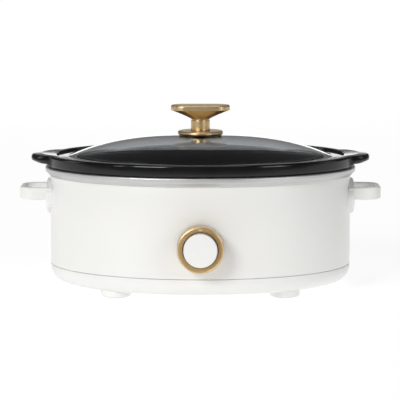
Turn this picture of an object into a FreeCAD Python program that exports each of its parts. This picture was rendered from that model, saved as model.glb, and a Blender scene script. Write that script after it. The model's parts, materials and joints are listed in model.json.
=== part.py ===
import FreeCAD, Part
import math
import os
import Sketcher
from FreeCAD import Placement, Rotation, Vector

# Oval slow cooker, modelled standing on its feet, in millimetres.
# +X is the long way (towards the right handle), -Y the front (the dial), +Z up.
# Every piece is drawn about the centre of the oval housing. The finished pieces
# are then shifted back by CENTRE_Y, so that the origin is under the middle of
# the whole object, dial included.

DRIVING_DIMENSIONS = [
    # oval housing
    ("shell_a", 182.0, "half length of the painted shell"),
    ("shell_b", 136.0, "half width of the painted shell"),
    ("oval_step", 46.0, "half length minus half width, the same for every oval"),
    ("shell_wall", 1.2, "shell sheet thickness"),
    ("shell_bottom", 29.4, "height of the shell's lower edge"),
    ("shell_top", 138.0, "height of the shell's upper edge"),
    ("seam_gap", 0.6, "shadow gap between shell and base pan"),
    ("pan_bottom", 8.0, "height of the underside of the base pan"),
    ("pan_wall", 2.5, "base pan moulding thickness"),
    ("pan_round", 19.0, "radius round the bottom edge of the base pan"),
    ("spigot_height", 7.0, "pan spigot that locates inside the shell"),
    # trim ring
    ("ring_bottom", 137.0, "lower edge of the trim ring"),
    ("ring_top", 147.7, "upper face of the trim ring"),
    ("ring_a", 188.0, "half length of the trim ring at its widest"),
    ("ring_foot_a", 183.4, "half length of the trim ring at its lower edge"),
    ("ring_wall", 1.4, "trim ring sheet thickness"),
    ("ring_bore_a", 173.0, "half length of the trim ring's opening"),
    # heating well
    ("well_top_a", 171.0, "half length of the well at its flange"),
    ("well_bottom_a", 156.0, "half length of the well at its floor"),
    ("well_floor", 31.5, "height of the well's underside"),
    ("well_wall", 1.0, "well sheet thickness"),
    # stoneware crock
    ("crock_gap", 2.5, "air gap between crock and well"),
    ("crock_bottom", 34.0, "height of the crock's underside"),
    ("crock_floor", 9.0, "thickness of the crock's floor"),
    ("crock_wall", 8.0, "thickness of the crock's wall"),
    ("crock_foot_round", 12.0, "radius round the crock's foot, outside"),
    ("cavity_round", 14.0, "radius round the bottom of the crock's cavity"),
    ("rim_bottom", 148.0, "underside of the crock's rim"),
    ("rim_top", 162.3, "crest of the crock's rim"),
    ("rim_a", 186.5, "half length over the crock's rim"),
    ("rim_round", 3.0, "radius of the rim's outer crest"),
    ("ledge_height", 157.0, "ledge that carries the lid"),
    ("ledge_a", 175.0, "half length of the lid's recess"),
    ("lug_reach", 205.3, "half length over the crock's lugs"),
    ("lug_half_width", 38.0, "half width of a lug"),
    ("lug_round", 42.0, "radius of a lug's end, seen from above"),
    ("lug_top", 163.0, "height of a lug's upper face"),
    # glass lid
    ("lid_a", 172.5, "half length of the lid"),
    ("lid_bottom", 157.3, "underside of the lid's flange"),
    ("lid_flange", 3.6, "thickness of the lid's flat flange"),
    ("lid_apex", 184.3, "top of the dome"),
    ("lid_glass_wall", 4.0, "glass thickness"),
    ("seal_room", 0.06, "room for the dome's curve over its lower silicone washer"),
    ("dome_a", 163.0, "half length of the dome, at the flange's underside"),
    ("dome_power", 2.8, "how late the dome turns down towards its edge"),
    # lid knob
    ("knob_disc_radius", 27.5, "radius of the knob's base disc"),
    ("knob_disc_top", 189.5, "upper face of the base disc"),
    ("gasket_height", 0.9, "thickness of each silicone washer"),
    ("stem_radius", 11.5, "radius of the knob's stem"),
    ("stem_top", 202.8, "height where the stem meets the grip"),
    ("grip_half_length", 35.8, "half length of the grip"),
    ("grip_half_width", 17.0, "half width of the grip"),
    ("grip_band_bottom", 214.6, "lower edge of the grip's upright band"),
    ("grip_top", 220.8, "top of the grip"),
    # dial
    ("dial_height", 67.0, "height of the dial's axis"),
    ("dial_radius", 27.0, "radius of the dial's metal skirt"),
    ("dial_standoff", 3.0, "gap between shell and dial skirt"),
    ("dial_depth", 21.0, "depth of the metal skirt"),
    ("cap_radius", 19.5, "radius of the white cap"),
    ("cap_gap", 1.1, "gap round the cap, inside the dial's dish"),
    ("cap_proud", 4.0, "how far the cap stands out of the skirt"),
    ("shaft_radius", 3.0, "radius of the switch shaft"),
    # side handles
    ("handle_reach", 218.4, "half length over the side handles"),
    ("handle_half_width", 30.0, "half width of a handle's loop"),
    ("handle_bottom", 108.3, "underside of a handle's loop"),
    ("handle_band_height", 15.0, "height of the loop's band"),
    ("handle_band", 6.0, "thickness of the loop's band"),
    ("loop_corner", 18.0, "radius round the outer corners of a handle's loop"),
    ("pad_half_width", 33.0, "half width of a handle's oval pad"),
    ("pad_half_height", 21.5, "half height of a handle's oval pad"),
    ("pad_level", 110.5, "height of the pad's middle"),
    ("pad_reach", 185.6, "half length over the pads"),
    ("pad_root", 20.0, "depth of a pad before it is trimmed to the shell"),
    ("pad_round", 2.0, "radius round a pad's face"),
    # feet
    ("foot_x", 100.0, "foot centre to the long middle"),
    ("foot_y", 80.0, "foot centre to the cross middle"),
    ("foot_radius", 17.8, "foot radius"),
    ("foot_lift", 0.8, "how far a foot's moulding stays above its rubber pad's face"),
    # heater and wiring inside the housing
    ("band_bottom", 45.0, "lower edge of the heater band"),
    ("band_top", 80.0, "upper edge of the heater band"),
    ("band_gap", 0.2, "gap between well and heater band"),
    ("band_outer", 2.4, "outside of the heater band, from the well"),
    ("strap_outer", 3.2, "outside of the tension strap, from the well"),
    ("strap_bottom", 56.0, "lower edge of the strap"),
    ("strap_top", 68.0, "upper edge of the strap"),
    ("shield_level", 24.0, "underside of the heat shield"),
    ("switch_back", 13.6, "how deep the switch reaches behind the shell's face"),
    ("lead_radius", 1.3, "radius of an insulated lead"),
    ("lead_level", 16.0, "height of the leads that cross the base"),
    ("neutral_y", 112.0, "where the neutral lead turns up, in front of the middle"),
    ("block_y", 106.0, "terminal block, behind the middle"),
    ("clamp_y", 121.0, "strap clamp, behind the middle"),
    ("clamp_level", 62.0, "height of the strap clamp's screw"),
    ("fuse_y", 119.2, "thermal fuse, in front of the middle"),
    ("fuse_level", 84.0, "height of the thermal fuse"),
    ("shaft_back", 10.4, "how deep the switch shaft starts behind the shell's face"),
    ("gland_level", 46.0, "height of the cord gland"),
    ("gland_bore", 3.6, "radius of the cord gland's bore"),
    ("bolt_y", 14.0, "handle bolt to the long middle"),
    ("vent_x", 60.0, "middle of a vent row"),
    ("vent_length", 44.0, "length of a vent slot"),
    ("vent_pitch", 9.0, "distance between vent slots"),
    ("marker_width", 4.0, "width of the dial's marker"),
    ("marker_height", 1.8, "height of the dial's marker"),
    ("marker_radius", 23.4, "marker to the dial's axis"),
]

# The shift that puts the origin midway between the dial's face and the ring's back.
CENTRE_Y = "( shell_b + dial_standoff + dial_depth + cap_proud - ring_a + oval_step ) / 2"

doc = FreeCAD.newDocument("slow_cooker")
sheet = doc.addObject("Spreadsheet::Sheet", "dims")
for row, (alias, value, note) in enumerate(DRIVING_DIMENSIONS, start=1):
    sheet.set("A%d" % row, alias)
    sheet.set("B%d" % row, str(value))
    sheet.setAlias("B%d" % row, alias)
    sheet.set("C%d" % row, note)
doc.recompute()

pieces = []


# ---------------------------------------------------------------- helpers

def expr(text):
    """A sheet expression: every alias in the text gets the sheet's name."""
    words = text.replace("(", " ( ").replace(")", " ) ").split()
    names = {alias for alias, value, note in DRIVING_DIMENSIONS}
    return " ".join("dims." + word if word in names else word for word in words)


def size(text):
    """The value of a sheet expression, for code that needs a number."""
    return float(sheet.evalExpression(expr(text)))


def place(thing, x="0", y="0", z="0", turn=None):
    """Puts an object at a sheet-driven position, turned about its own origin."""
    if turn is not None:
        thing.Placement = Placement(Vector(), turn)
    thing.setExpression("Placement.Base.x", expr(x))
    thing.setExpression("Placement.Base.y", expr(y))
    thing.setExpression("Placement.Base.z", expr(z))
    return thing


def piece(node, thing, x="0", y="0", z="0", turn=None):
    """Declares a finished piece, with its place about the oval's centre."""
    place(thing, x, y + " + " + CENTRE_Y, z, turn)
    thing.Label = node
    pieces.append(thing)
    return thing


ALONG_Y = Rotation(Vector(1, 0, 0), -90)      # local +Z becomes +Y
ALONG_FRONT = Rotation(Vector(1, 0, 0), 90)   # local +Z becomes -Y
ALONG_X = Rotation(Vector(0, 1, 0), 90)       # local +Z becomes +X


def cylinder(name, radius, height, x="0", y="0", z="0", turn=None):
    thing = doc.addObject("Part::Cylinder", name)
    thing.setExpression("Radius", expr(radius))
    thing.setExpression("Height", expr(height))
    return place(thing, x, y, z, turn)


def box(name, length, width, height, x="0", y="0", z="0"):
    """A box centred on x and y, standing on z."""
    thing = doc.addObject("Part::Box", name)
    thing.setExpression("Length", expr(length))
    thing.setExpression("Width", expr(width))
    thing.setExpression("Height", expr(height))
    return place(thing, "%s - ( %s ) / 2" % (x, length), "%s - ( %s ) / 2" % (y, width), z)


def oval(name, half_length, level, half_width=None):
    """An ellipse at a height; its half width is oval_step less than its half length."""
    thing = doc.addObject("Part::Ellipse", name)
    thing.setExpression("MajorRadius", expr(half_length))
    thing.setExpression("MinorRadius", expr(half_width or half_length + " - oval_step"))
    return place(thing, z=level)


def oval_stack(name, sections, ruled=True):
    """A solid through ovals given as (half_length, level) or (half_length, level, half_width)."""
    thing = doc.addObject("Part::Loft", name)
    thing.Sections = [oval("%s_%d" % (name, i), *section) for i, section in enumerate(sections)]
    thing.Solid = True
    thing.Ruled = ruled
    return thing


def group(name, things):
    """A compound of separate tools or identical fasteners."""
    thing = doc.addObject("Part::Compound", name)
    thing.Links = things
    return thing


def fuse(name, things):
    thing = doc.addObject("Part::MultiFuse", name)
    thing.Shapes = things
    return thing


def cut(name, base, tools):
    """The base less every tool, one boolean after another."""
    for i, tool in enumerate(tools):
        thing = doc.addObject("Part::Cut", "%s_cut%d" % (name, i))
        thing.Base, thing.Tool = base, tool
        base = thing
    return base


def rounded(name, base, radius, chosen):
    """The base with a fillet on each edge that the test picks by its bounding box."""
    doc.recompute()
    thing = doc.addObject("Part::Fillet", name)
    thing.Base = base
    numbers = [i for i, edge in enumerate(base.Shape.Edges, 1) if chosen(edge.BoundBox)]
    if not numbers:
        raise RuntimeError("no edge to round on " + name)
    thing.Edges = [(i, radius, radius) for i in numbers]
    return thing


def level_edge(level, reach):
    """Picks flat edges at a height that reach a half length."""
    def chosen(bounds):
        at_level = abs(bounds.ZMin - level) < 0.01 and abs(bounds.ZMax - level) < 0.01
        return at_level and abs(bounds.XMax - reach) < 0.01
    return chosen


def turned(node, profile):
    """A turned body: a closed (radius, height) profile revolved about its own Z."""
    body = doc.addObject("PartDesign::Body", node + "_body")
    sketch = flat_sketch(body, node + "_profile", "XZ_Plane")
    closed_outline(sketch, profile)
    turn = body.newObject("PartDesign::Revolution", node + "_turn")
    turn.Profile = sketch
    turn.ReferenceAxis = (sketch, ["V_Axis"])
    turn.Angle = 360.0
    sketch.Visibility = False
    return body


def flat_sketch(body, name, role, level="0"):
    sketch = body.newObject("Sketcher::SketchObject", name)
    plane = [f for f in body.Origin.OriginFeatures if f.Role == role][0]
    sketch.AttachmentSupport = (plane, [""])
    sketch.MapMode = "FlatFace"
    sketch.setExpression("AttachmentOffset.Base.z", expr(level))
    return sketch


def closed_outline(sketch, points):
    """Straight lines round the points, each point held to the sheet in both directions."""
    values = [Vector(size(u), size(v), 0) for u, v in points]
    first = sketch.GeometryCount
    count = len(points)
    for i in range(count):
        sketch.addGeometry(Part.LineSegment(values[i], values[(i + 1) % count]), False)
    for i in range(count):
        sketch.addConstraint(Sketcher.Constraint(
            "Coincident", first + i, 2, first + (i + 1) % count, 1))
    for i, (u, v) in enumerate(points):
        for kind, value, text in (("DistanceX", values[i].x, u), ("DistanceY", values[i].y, v)):
            hold(sketch, kind, (-1, 1, first + i, 1), value, text)


def pad(body, sketch, name, length, both_ways=False):
    feature = body.newObject("PartDesign::Pad", name)
    feature.Profile = sketch
    feature.setExpression("Length", expr(length))
    feature.Midplane = both_ways
    return feature


def slot_sketch(body, name, straight, radius, level):
    """A flat sketch of a slot along X: two half circles and two straight sides."""
    sketch = flat_sketch(body, name, "XY_Plane", level)
    reach, r = size(straight), size(radius)
    for side in (1, -1):
        circle = Part.Circle(Vector(side * reach, 0, 0), Vector(0, 0, 1), r)
        start = math.radians(-90 * side)
        sketch.addGeometry(Part.ArcOfCircle(circle, start, start + math.pi), False)
    sketch.addGeometry(Part.LineSegment(Vector(reach, r, 0), Vector(-reach, r, 0)), False)
    sketch.addGeometry(Part.LineSegment(Vector(-reach, -r, 0), Vector(reach, -r, 0)), False)
    for arc, line_out, line_in in ((0, 2, 3), (1, 3, 2)):
        sketch.addConstraint(Sketcher.Constraint("Coincident", arc, 2, line_out, 1))
        sketch.addConstraint(Sketcher.Constraint("Coincident", line_in, 2, arc, 1))
    corners = ((0, 1, 1, -1), (0, 2, 1, 1), (1, 1, -1, 1), (1, 2, -1, -1))
    for arc, end, across, up in corners:
        for kind, value, text in (("DistanceX", across * reach, "%d * ( %s )" % (across, straight)),
                                  ("DistanceY", up * r, "%d * ( %s )" % (up, radius))):
            hold(sketch, kind, (-1, 1, arc, end), value, text)
    hold(sketch, "DistanceX", (-1, 1, 0, 3), reach, straight)
    hold(sketch, "DistanceX", (-1, 1, 1, 3), -reach, "-1 * ( %s )" % straight)
    return sketch


def hold(sketch, kind, targets, value, text):
    """A dimensional constraint driven by the sheet."""
    number = sketch.addConstraint(Sketcher.Constraint(kind, *targets, value))
    sketch.setExpression("Constraints[%d]" % number, expr(text))


def well_at(level, out="0"):
    """Half length of the well's outside at a height, plus a distance outwards."""
    slope = "( well_top_a - well_bottom_a ) / ( shell_top - well_floor )"
    return "well_bottom_a + ( ( %s ) - well_floor ) * %s + %s" % (level, slope, out)


def hexagon(name, radius, height, x="0", y="0", z="0", turn=None):
    """A six-sided nut blank."""
    thing = doc.addObject("Part::Prism", name)
    thing.Polygon = 6
    thing.setExpression("Circumradius", expr(radius))
    thing.setExpression("Height", expr(height))
    return place(thing, x, y, z, turn)


def lead(node, plane, x, run):
    """An insulated lead: a straight run, a quarter turn and a straight end, in one plane."""
    body = doc.addObject("PartDesign::Body", node + "_body")
    path = flat_sketch(body, node + "_path", plane, x)
    (start_u, start_v), (corner_u, corner_v), (end_u, end_v), bend = run
    u0, v0, u1, v1, u2, v2, r = [size(t) for t in (
        start_u, start_v, corner_u, corner_v, end_u, end_v, bend)]
    along = Vector(u1 - u0, v1 - v0, 0).normalize()
    away = Vector(u2 - u1, v2 - v1, 0).normalize()
    corner = Vector(u1, v1, 0)
    middle = corner + (along * -1 + away) * r * (1 - 0.5 ** 0.5)
    path.addGeometry(Part.LineSegment(Vector(u0, v0, 0), corner - along * r), False)
    path.addGeometry(Part.Arc(corner - along * r, middle, corner + away * r), False)
    path.addGeometry(Part.LineSegment(corner + away * r, Vector(u2, v2, 0)), False)
    section = flat_sketch(body, node + "_section", "XZ_Plane" if plane == "YZ_Plane" else "YZ_Plane")
    section.MapMode = "Deactivated"
    normal = Rotation(Vector(0, 0, 1), body_direction(plane, along))
    section.Placement = Placement(body_point(plane, size(x), u0, v0), normal)
    section.addGeometry(Part.Circle(Vector(), Vector(0, 0, 1), size("lead_radius")), False)
    hold(section, "Radius", (0,), size("lead_radius"), "lead_radius")
    pipe = body.newObject("PartDesign::AdditivePipe", node + "_pipe")
    pipe.Profile = section
    pipe.Spine = (path, ["Edge1", "Edge2", "Edge3"])
    return piece(node, body)


def body_point(plane, offset, u, v):
    """The point of a body for a place on one of its sketch planes."""
    return Vector(offset, u, v) if plane == "YZ_Plane" else Vector(u, v, offset)


def body_direction(plane, along):
    return body_point(plane, 0, along.x, along.y)


# ------------------------------------------------------- painted shell and base

def shell_holes():
    """Tools for the dial's bushing, the handle bolts and the cord gland."""
    bushing = cylinder("shell_bushing_hole", "5.2", "12", y="- shell_b + 6", z="dial_height",
                       turn=ALONG_FRONT)
    gland = cylinder("shell_gland_hole", "6.5", "12", y="shell_b - 6", z="gland_level", turn=ALONG_Y)
    bolts = [cylinder("shell_bolt_hole", "2.2", "2 * shell_a + 10", x="- shell_a - 5",
                      y=side + "bolt_y", z="pad_level", turn=ALONG_X) for side in ("", "-1 * ")]
    return [bushing, gland] + bolts


def housing_shell():
    outer = oval_stack("shell_outer", [("shell_a", "shell_bottom"), ("shell_a", "shell_top")])
    inner = oval_stack("shell_inner", [("shell_a - shell_wall", "shell_bottom - 1"),
                                       ("shell_a - shell_wall", "shell_top - shell_wall")])
    mouth = oval_stack("shell_mouth", [("well_top_a + 1", "shell_top - 5"),
                                       ("well_top_a + 1", "shell_top + 5")])
    return piece("housing_shell", cut("housing_shell", outer, [inner, mouth] + shell_holes()))


def pan_block():
    """The base pan's outside as one solid; the feet are trimmed to it too."""
    blank = oval_stack("pan_blank", [("shell_a", "pan_bottom"), ("shell_a", "shell_bottom - seam_gap")])
    return rounded("pan_block", blank, size("pan_round"), level_edge(size("pan_bottom"), size("shell_a")))


def foot_places():
    return [(name, x + "foot_x", y + "foot_y") for name, x, y in (
        ("front_left", "-1 * ", "-1 * "), ("front_right", "", "-1 * "),
        ("rear_left", "-1 * ", ""), ("rear_right", "", ""))]


def vent_slots():
    """Two rows of slots through the pan's floor."""
    return [box("vent_slot", "vent_length", "3", "10", x=side + "vent_x",
                y="%d * vent_pitch" % row, z="pan_bottom - 3")
            for side in ("", "-1 * ") for row in (-2, -1, 0, 1, 2)]


def base_pan(block):
    blank = oval_stack("pan_hollow_blank", [("shell_a - pan_wall", "pan_bottom + pan_wall"),
                                            ("shell_a - pan_wall", "shell_bottom + 5")])
    hollow = rounded("pan_hollow", blank, size("pan_round - pan_wall"),
                     level_edge(size("pan_bottom + pan_wall"), size("shell_a - pan_wall")))
    skin = cut("pan_skin", block, [hollow])
    spigot_top = "shell_bottom - seam_gap + spigot_height"
    spigot = cut("spigot", oval_stack("spigot_outer", [
        ("shell_a - shell_wall - 0.3", "shell_bottom - 5"), ("shell_a - shell_wall - 0.3", spigot_top)]),
        [oval_stack("spigot_inner", [("shell_a - 4", "shell_bottom - 6"),
                                     ("shell_a - 4", "shell_bottom + 12")])])
    bosses = [cylinder("pan_boss", "5", "8", x, y, "pan_bottom + 1") for name, x, y in foot_places()]
    screw_holes = [cylinder("pan_screw_hole", "2.05", "14", x, y, "pan_bottom - 2")
                   for name, x, y in foot_places()]
    stud_hole = cylinder("pan_stud_hole", "3.3", "10", z="pan_bottom - 3")
    tools = screw_holes + [stud_hole] + vent_slots()
    return piece("base_pan", cut("base_pan", fuse("pan_joined", [skin, spigot] + bosses), tools))


def foot(name, x, y, block):
    """A moulded foot, trimmed to the pan's rounded underside, with its rubber pad."""
    moulding = turned("foot_" + name, [
        ("2.2", "4.4"), ("5.2", "4.4"), ("5.2", "2.2"), ("13.2", "2.2"), ("13.2", "foot_lift"),
        ("foot_radius - 2.6", "foot_lift"), ("foot_radius - 0.8", "foot_lift + 0.8"),
        ("foot_radius", "foot_lift + 2.6"), ("foot_radius", "pan_bottom + 5"),
        ("2.2", "pan_bottom + 5")])
    place(moulding, x, y)
    piece("foot_" + name, cut("foot_" + name, moulding, [block]))
    rubber = turned("foot_pad_" + name, [("6", "0"), ("13", "0"), ("13", "2.2"), ("6", "2.2")])
    piece("foot_pad_" + name, rubber, x, y)


def foot_screws():
    screws = [fuse("foot_screw", [cylinder("foot_screw_head", "4.6", "2", x, y, "2.4"),
                                  cylinder("foot_screw_shank", "2", "10.6", x, y, "4.4")])
              for name, x, y in foot_places()]
    return piece("foot_screws", group("foot_screws", screws))


# ------------------------------------------------------------- well and trim ring

def rim_ring():
    """A rolled channel: outer skirt, flat top and an inner leg that rests on the well."""
    outer = oval_stack("ring_outer", [
        ("ring_foot_a", "ring_bottom"), ("ring_foot_a + 0.8", "ring_bottom + 1.6"),
        ("ring_a - 0.5", "ring_top - 4"), ("ring_a", "ring_top - 2"),
        ("ring_a - 0.4", "ring_top - 0.7"), ("ring_a - 1.4", "ring_top")])
    bore = oval_stack("ring_bore", [("ring_bore_a", "ring_bottom - 1"), ("ring_bore_a", "ring_top + 1")])
    leg_outside = "ring_bore_a + ring_wall"
    channel = cut("ring_channel", oval_stack("ring_channel_outer", [
        ("ring_foot_a - ring_wall + 0.3", "ring_bottom - 1"),
        ("ring_foot_a - ring_wall + 1", "ring_bottom + 1.6"),
        ("ring_a - ring_wall - 0.5", "ring_top - 4"),
        ("ring_a - ring_wall", "ring_top - ring_wall")]),
        [oval_stack("ring_leg", [(leg_outside, "ring_bottom - 2"), (leg_outside, "ring_top + 1")])])
    below_leg = oval_stack("ring_below_leg", [("shell_a - 0.1", "ring_bottom - 2"),
                                              ("shell_a - 0.1", "shell_top + shell_wall")])
    return piece("rim_ring", cut("rim_ring", outer, [bore, channel, below_leg]))


def heating_well():
    flange = "shell_top + shell_wall"
    bowl = oval_stack("well_outer", [("well_bottom_a", "well_floor"), ("well_top_a", "shell_top")])
    lip = oval_stack("well_lip", [("shell_a - 0.6", "shell_top"), ("shell_a - 0.6", flange)])
    inside = oval_stack("well_inner", [
        ("well_bottom_a - well_wall", "well_floor + well_wall"),
        ("well_top_a - well_wall", "shell_top"), ("well_top_a - well_wall", flange + " + 1")])
    return piece("heating_well", cut("heating_well", fuse("well_joined", [bowl, lip]), [inside]))


def sleeve(name, bottom, top, inside, outside):
    """A band that hugs the tapered well between two heights."""
    outer = oval_stack(name + "_outer", [(well_at(bottom, outside), bottom), (well_at(top, outside), top)])
    inner_ends = [bottom + " - 1", top + " + 1"]
    inner = oval_stack(name + "_inner", [(well_at(end, inside), end) for end in inner_ends])
    return cut(name, outer, [inner])


def heater():
    piece("heater_band", sleeve("heater_band", "band_bottom", "band_top", "band_gap", "band_outer"))
    strap = sleeve("strap", "strap_bottom", "strap_top", "band_outer", "strap_outer")
    ears = [box("strap_ear", "1.5", "8.4", "strap_top - strap_bottom", x=side + "4", y="clamp_y + 0.8",
                z="strap_bottom") for side in ("", "-1 * ")]
    gap = box("strap_gap", "6.5", "20", "30", y="clamp_y", z="strap_bottom - 5")
    bore = cylinder("strap_ear_hole", "1.6", "20", x="-10", y="clamp_y + 1.5", z="clamp_level", turn=ALONG_X)
    piece("heater_band_strap", cut("heater_band_strap", fuse("strap_joined", [strap] + ears), [gap, bore]))
    head = cylinder("clamp_head", "3", "2", x="4.75", y="clamp_y + 1.5", z="clamp_level", turn=ALONG_X)
    shank = cylinder("clamp_shank", "1.5", "14", x="-9.2", y="clamp_y + 1.5", z="clamp_level", turn=ALONG_X)
    piece("strap_clamp_screw", fuse("strap_clamp_screw", [head, shank]))
    nut = hexagon("clamp_nut_blank", "3.2", "2.4", x="-7.2", y="clamp_y + 1.5", z="clamp_level", turn=ALONG_X)
    hole = cylinder("clamp_nut_hole", "1.5", "6", x="-9", y="clamp_y + 1.5", z="clamp_level", turn=ALONG_X)
    piece("strap_clamp_nut", cut("strap_clamp_nut", nut, [hole]))


def heat_shield():
    plate = oval_stack("shield_plate", [("well_bottom_a - 12", "shield_level"),
                                        ("well_bottom_a - 12", "shield_level + 0.8")])
    hole = cylinder("shield_hole", "3.3", "10", z="shield_level - 4")
    piece("heat_shield", cut("heat_shield", plate, [hole]))
    spacer = turned("shield_spacer", [("3.2", "pan_bottom + pan_wall"), ("6", "pan_bottom + pan_wall"),
                                      ("6", "shield_level"), ("3.2", "shield_level")])
    piece("shield_spacer", spacer)


def well_fastening():
    """A stud welded under the well holds the base pan on with a washer and nut."""
    piece("well_stud", group("well_stud", [cylinder("stud_rod", "3", "well_floor - 3.4", z="3.4")]))
    washer = turned("stud_washer", [("3.1", "pan_bottom - 1.2"), ("9", "pan_bottom - 1.2"),
                                    ("9", "pan_bottom"), ("3.1", "pan_bottom")])
    piece("stud_washer", washer)
    nut = hexagon("stud_nut_blank", "5.8", "2.8", z="pan_bottom - 4")
    piece("stud_nut", cut("stud_nut", nut, [cylinder("stud_nut_hole", "3", "10", z="1")]))


def thermal_fuse():
    capsule = cylinder("fuse_capsule", "2", "12", x="-36", y="- fuse_y", z="fuse_level", turn=ALONG_X)
    piece("thermal_fuse", group("thermal_fuse", [capsule]))
    ring = cylinder("fuse_clip_ring", "2.8", "5", x="-32.5", y="- fuse_y", z="fuse_level", turn=ALONG_X)
    foot_plate = box("fuse_clip_foot", "5", "0.8", "8", x="-30", y="- fuse_y + 1.6", z="fuse_level")
    bore = cylinder("fuse_clip_bore", "2", "9", x="-34", y="- fuse_y", z="fuse_level", turn=ALONG_X)
    piece("fuse_clip", cut("fuse_clip", fuse("fuse_clip_joined", [ring, foot_plate]), [bore]))


# ----------------------------------------------------------- switch and wiring

def rotary_switch():
    face = "- shell_b"
    bracket = box("bracket_plate", "40", "1", "36", y=face + " + 3.1", z="dial_height - 18")
    bracket_hole = cylinder("bracket_hole", "5.1", "8", y=face + " + 7", z="dial_height", turn=ALONG_FRONT)
    piece("control_bracket", cut("control_bracket", bracket, [bracket_hole]))
    depth = "switch_back - 3.6"
    case = box("switch_case", "30", depth, "30", y="%s + 3.6 + ( %s ) / 2" % (face, depth),
               z="dial_height - 15")
    bushing = cylinder("switch_bushing", "5", "7", y=face + " + 4.6", z="dial_height", turn=ALONG_FRONT)
    bore = cylinder("switch_bore", "shaft_radius + 0.05", "20", y=face + " + 10.6", z="dial_height",
                    turn=ALONG_FRONT)
    rotor_room = cylinder("rotor_room", "9.3", "5.4", y=face + " + 10.6", z="dial_height", turn=ALONG_FRONT)
    piece("switch_housing", cut("switch_housing", fuse("switch_joined", [case, bushing]),
                                [bore, rotor_room]))
    nut = hexagon("switch_nut_blank", "8", "2.3", y=face + " - 0.02", z="dial_height", turn=ALONG_FRONT)
    nut_hole = cylinder("switch_nut_hole", "5", "8", y=face + " + 3", z="dial_height", turn=ALONG_FRONT)
    piece("switch_nut", cut("switch_nut", nut, [nut_hole]))
    tabs = [box("switch_tab", "6.3", "0.8", "7", x=x, y=face + " + 9", z="dial_height - 22")
            for x in ("-10", "0", "10")]
    piece("switch_terminals", group("switch_terminals", tabs))


def wiring():
    block = box("block_body", "88", "14", "12", y="block_y", z="pan_bottom + pan_wall + 0.2")
    ways = [cylinder("block_way", "lead_radius + 0.4", "9", x=x, y="block_y + 1", z="lead_level",
                     turn=ALONG_FRONT) for x in ("-10", "30")]
    piece("terminal_block", cut("terminal_block", block, ways))
    piece_ends = (("lead_live", "-10", "- shell_b + 9", "dial_height - 24", "15"),
                  ("lead_neutral", "30", "- neutral_y", "band_bottom - 1", "12"))
    for node, x, up_y, top, bend in piece_ends:
        lead(node, "YZ_Plane", x, (("block_y", "lead_level"), (up_y, "lead_level"), (up_y, top), bend))
    for node, sign, level in (("lead_low_heat", "-1 * ", "dial_height - 6"),
                              ("lead_high_heat", "", "dial_height + 6")):
        lead(node, "XY_Plane", level, ((sign + "15.2", "- shell_b + 9"), (sign + "42", "- shell_b + 9"),
                                       (sign + "42", "- shell_b + 18.2"), "8"))
    sleeves = [cut("crimp", cylinder("crimp_outer", "2.2", "7", x, y, z),
                   [cylinder("crimp_inner", "lead_radius", "9", x, y, z + " - 1")])
               for x, y, z in (("-10", "- shell_b + 9", "dial_height - 33"),
                               ("30", "- neutral_y", "band_bottom - 9"))]
    piece("crimp_sleeves", group("crimp_sleeves", sleeves))


def cord_gland():
    """A flanged bush through the shell's back, with a groove that grips the sheet."""
    gland = turned("cord_gland", [
        ("gland_bore", "-8"), ("8.2", "-8"), ("8.2", "- shell_wall - 0.6"), ("6.2", "- shell_wall - 0.6"),
        ("6.2", "0.1"), ("9", "0.1"), ("9", "2.2"), ("7.6", "3.4"), ("gland_bore", "3.4")])
    return piece("cord_gland", gland, y="shell_b", z="gland_level", turn=ALONG_Y)


# ------------------------------------------------------------------ side handles

def handle_solid(trim):
    """The right-hand handle: an oval pad with a loop of band standing out of it."""
    loop = box("handle_loop_blank", "80", "2 * handle_half_width", "handle_band_height",
               x="handle_reach - 40", z="handle_bottom")
    corner = size("handle_reach")
    outer = rounded("handle_loop_outer", loop, size("loop_corner"),
                    upright_edge(corner, size("handle_half_width")))
    gap = box("handle_gap_blank", "80", "2 * ( handle_half_width - handle_band )", "40",
              x="handle_reach - handle_band - 40", z="handle_bottom - 12")
    gap_corner = size("handle_reach - handle_band")
    inner = rounded("handle_gap", gap, size("loop_corner - handle_band"),
                    upright_edge(gap_corner, size("handle_half_width - handle_band")))
    band = cut("handle_band", outer, [inner])
    oval_face = doc.addObject("Part::Ellipse", "pad_oval")
    oval_face.setExpression("MajorRadius", expr("pad_half_width"))
    oval_face.setExpression("MinorRadius", expr("pad_half_height"))
    place(oval_face, "pad_reach - pad_root", "0", "pad_level",
          Rotation(Vector(0, 1, 0), Vector(0, 0, 1), Vector(1, 0, 0), "ZXY"))
    pad_solid = doc.addObject("Part::Extrusion", "pad_solid")
    pad_solid.Base = oval_face
    pad_solid.DirMode = "Custom"
    pad_solid.Dir = Vector(1, 0, 0)
    pad_solid.setExpression("LengthFwd", expr("pad_root"))
    pad_solid.Solid = True
    reach = size("pad_reach")
    soft_pad = rounded("soft_pad", pad_solid, size("pad_round"), lambda b: abs(b.XMin - reach) < 0.01
                       and abs(b.XMax - reach) < 0.01)
    bolts = [cylinder("handle_bolt_hole", "2", "40", x="shell_a - 38", y=side + "bolt_y", z="pad_level",
                      turn=ALONG_X) for side in ("", "-1 * ")]
    drilled = cut("handle_pad", soft_pad, bolts)
    return cut("handle_trimmed", fuse("handle_joined", [drilled, band]), [trim])


def upright_edge(x, y):
    """Picks upright edges at a corner, on either side of the middle."""
    def chosen(b):
        upright = b.XMax - b.XMin < 0.01 and b.YMax - b.YMin < 0.01 and b.ZMax - b.ZMin > 1
        return upright and abs(b.XMin - x) < 0.01 and abs(abs(b.YMin) - y) < 0.01
    return chosen


def other_end(name, source):
    """A mirror image on the oval's other end."""
    thing = doc.addObject("Part::Mirroring", name)
    thing.Source = source
    thing.Normal = Vector(1, 0, 0)
    return thing


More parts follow.
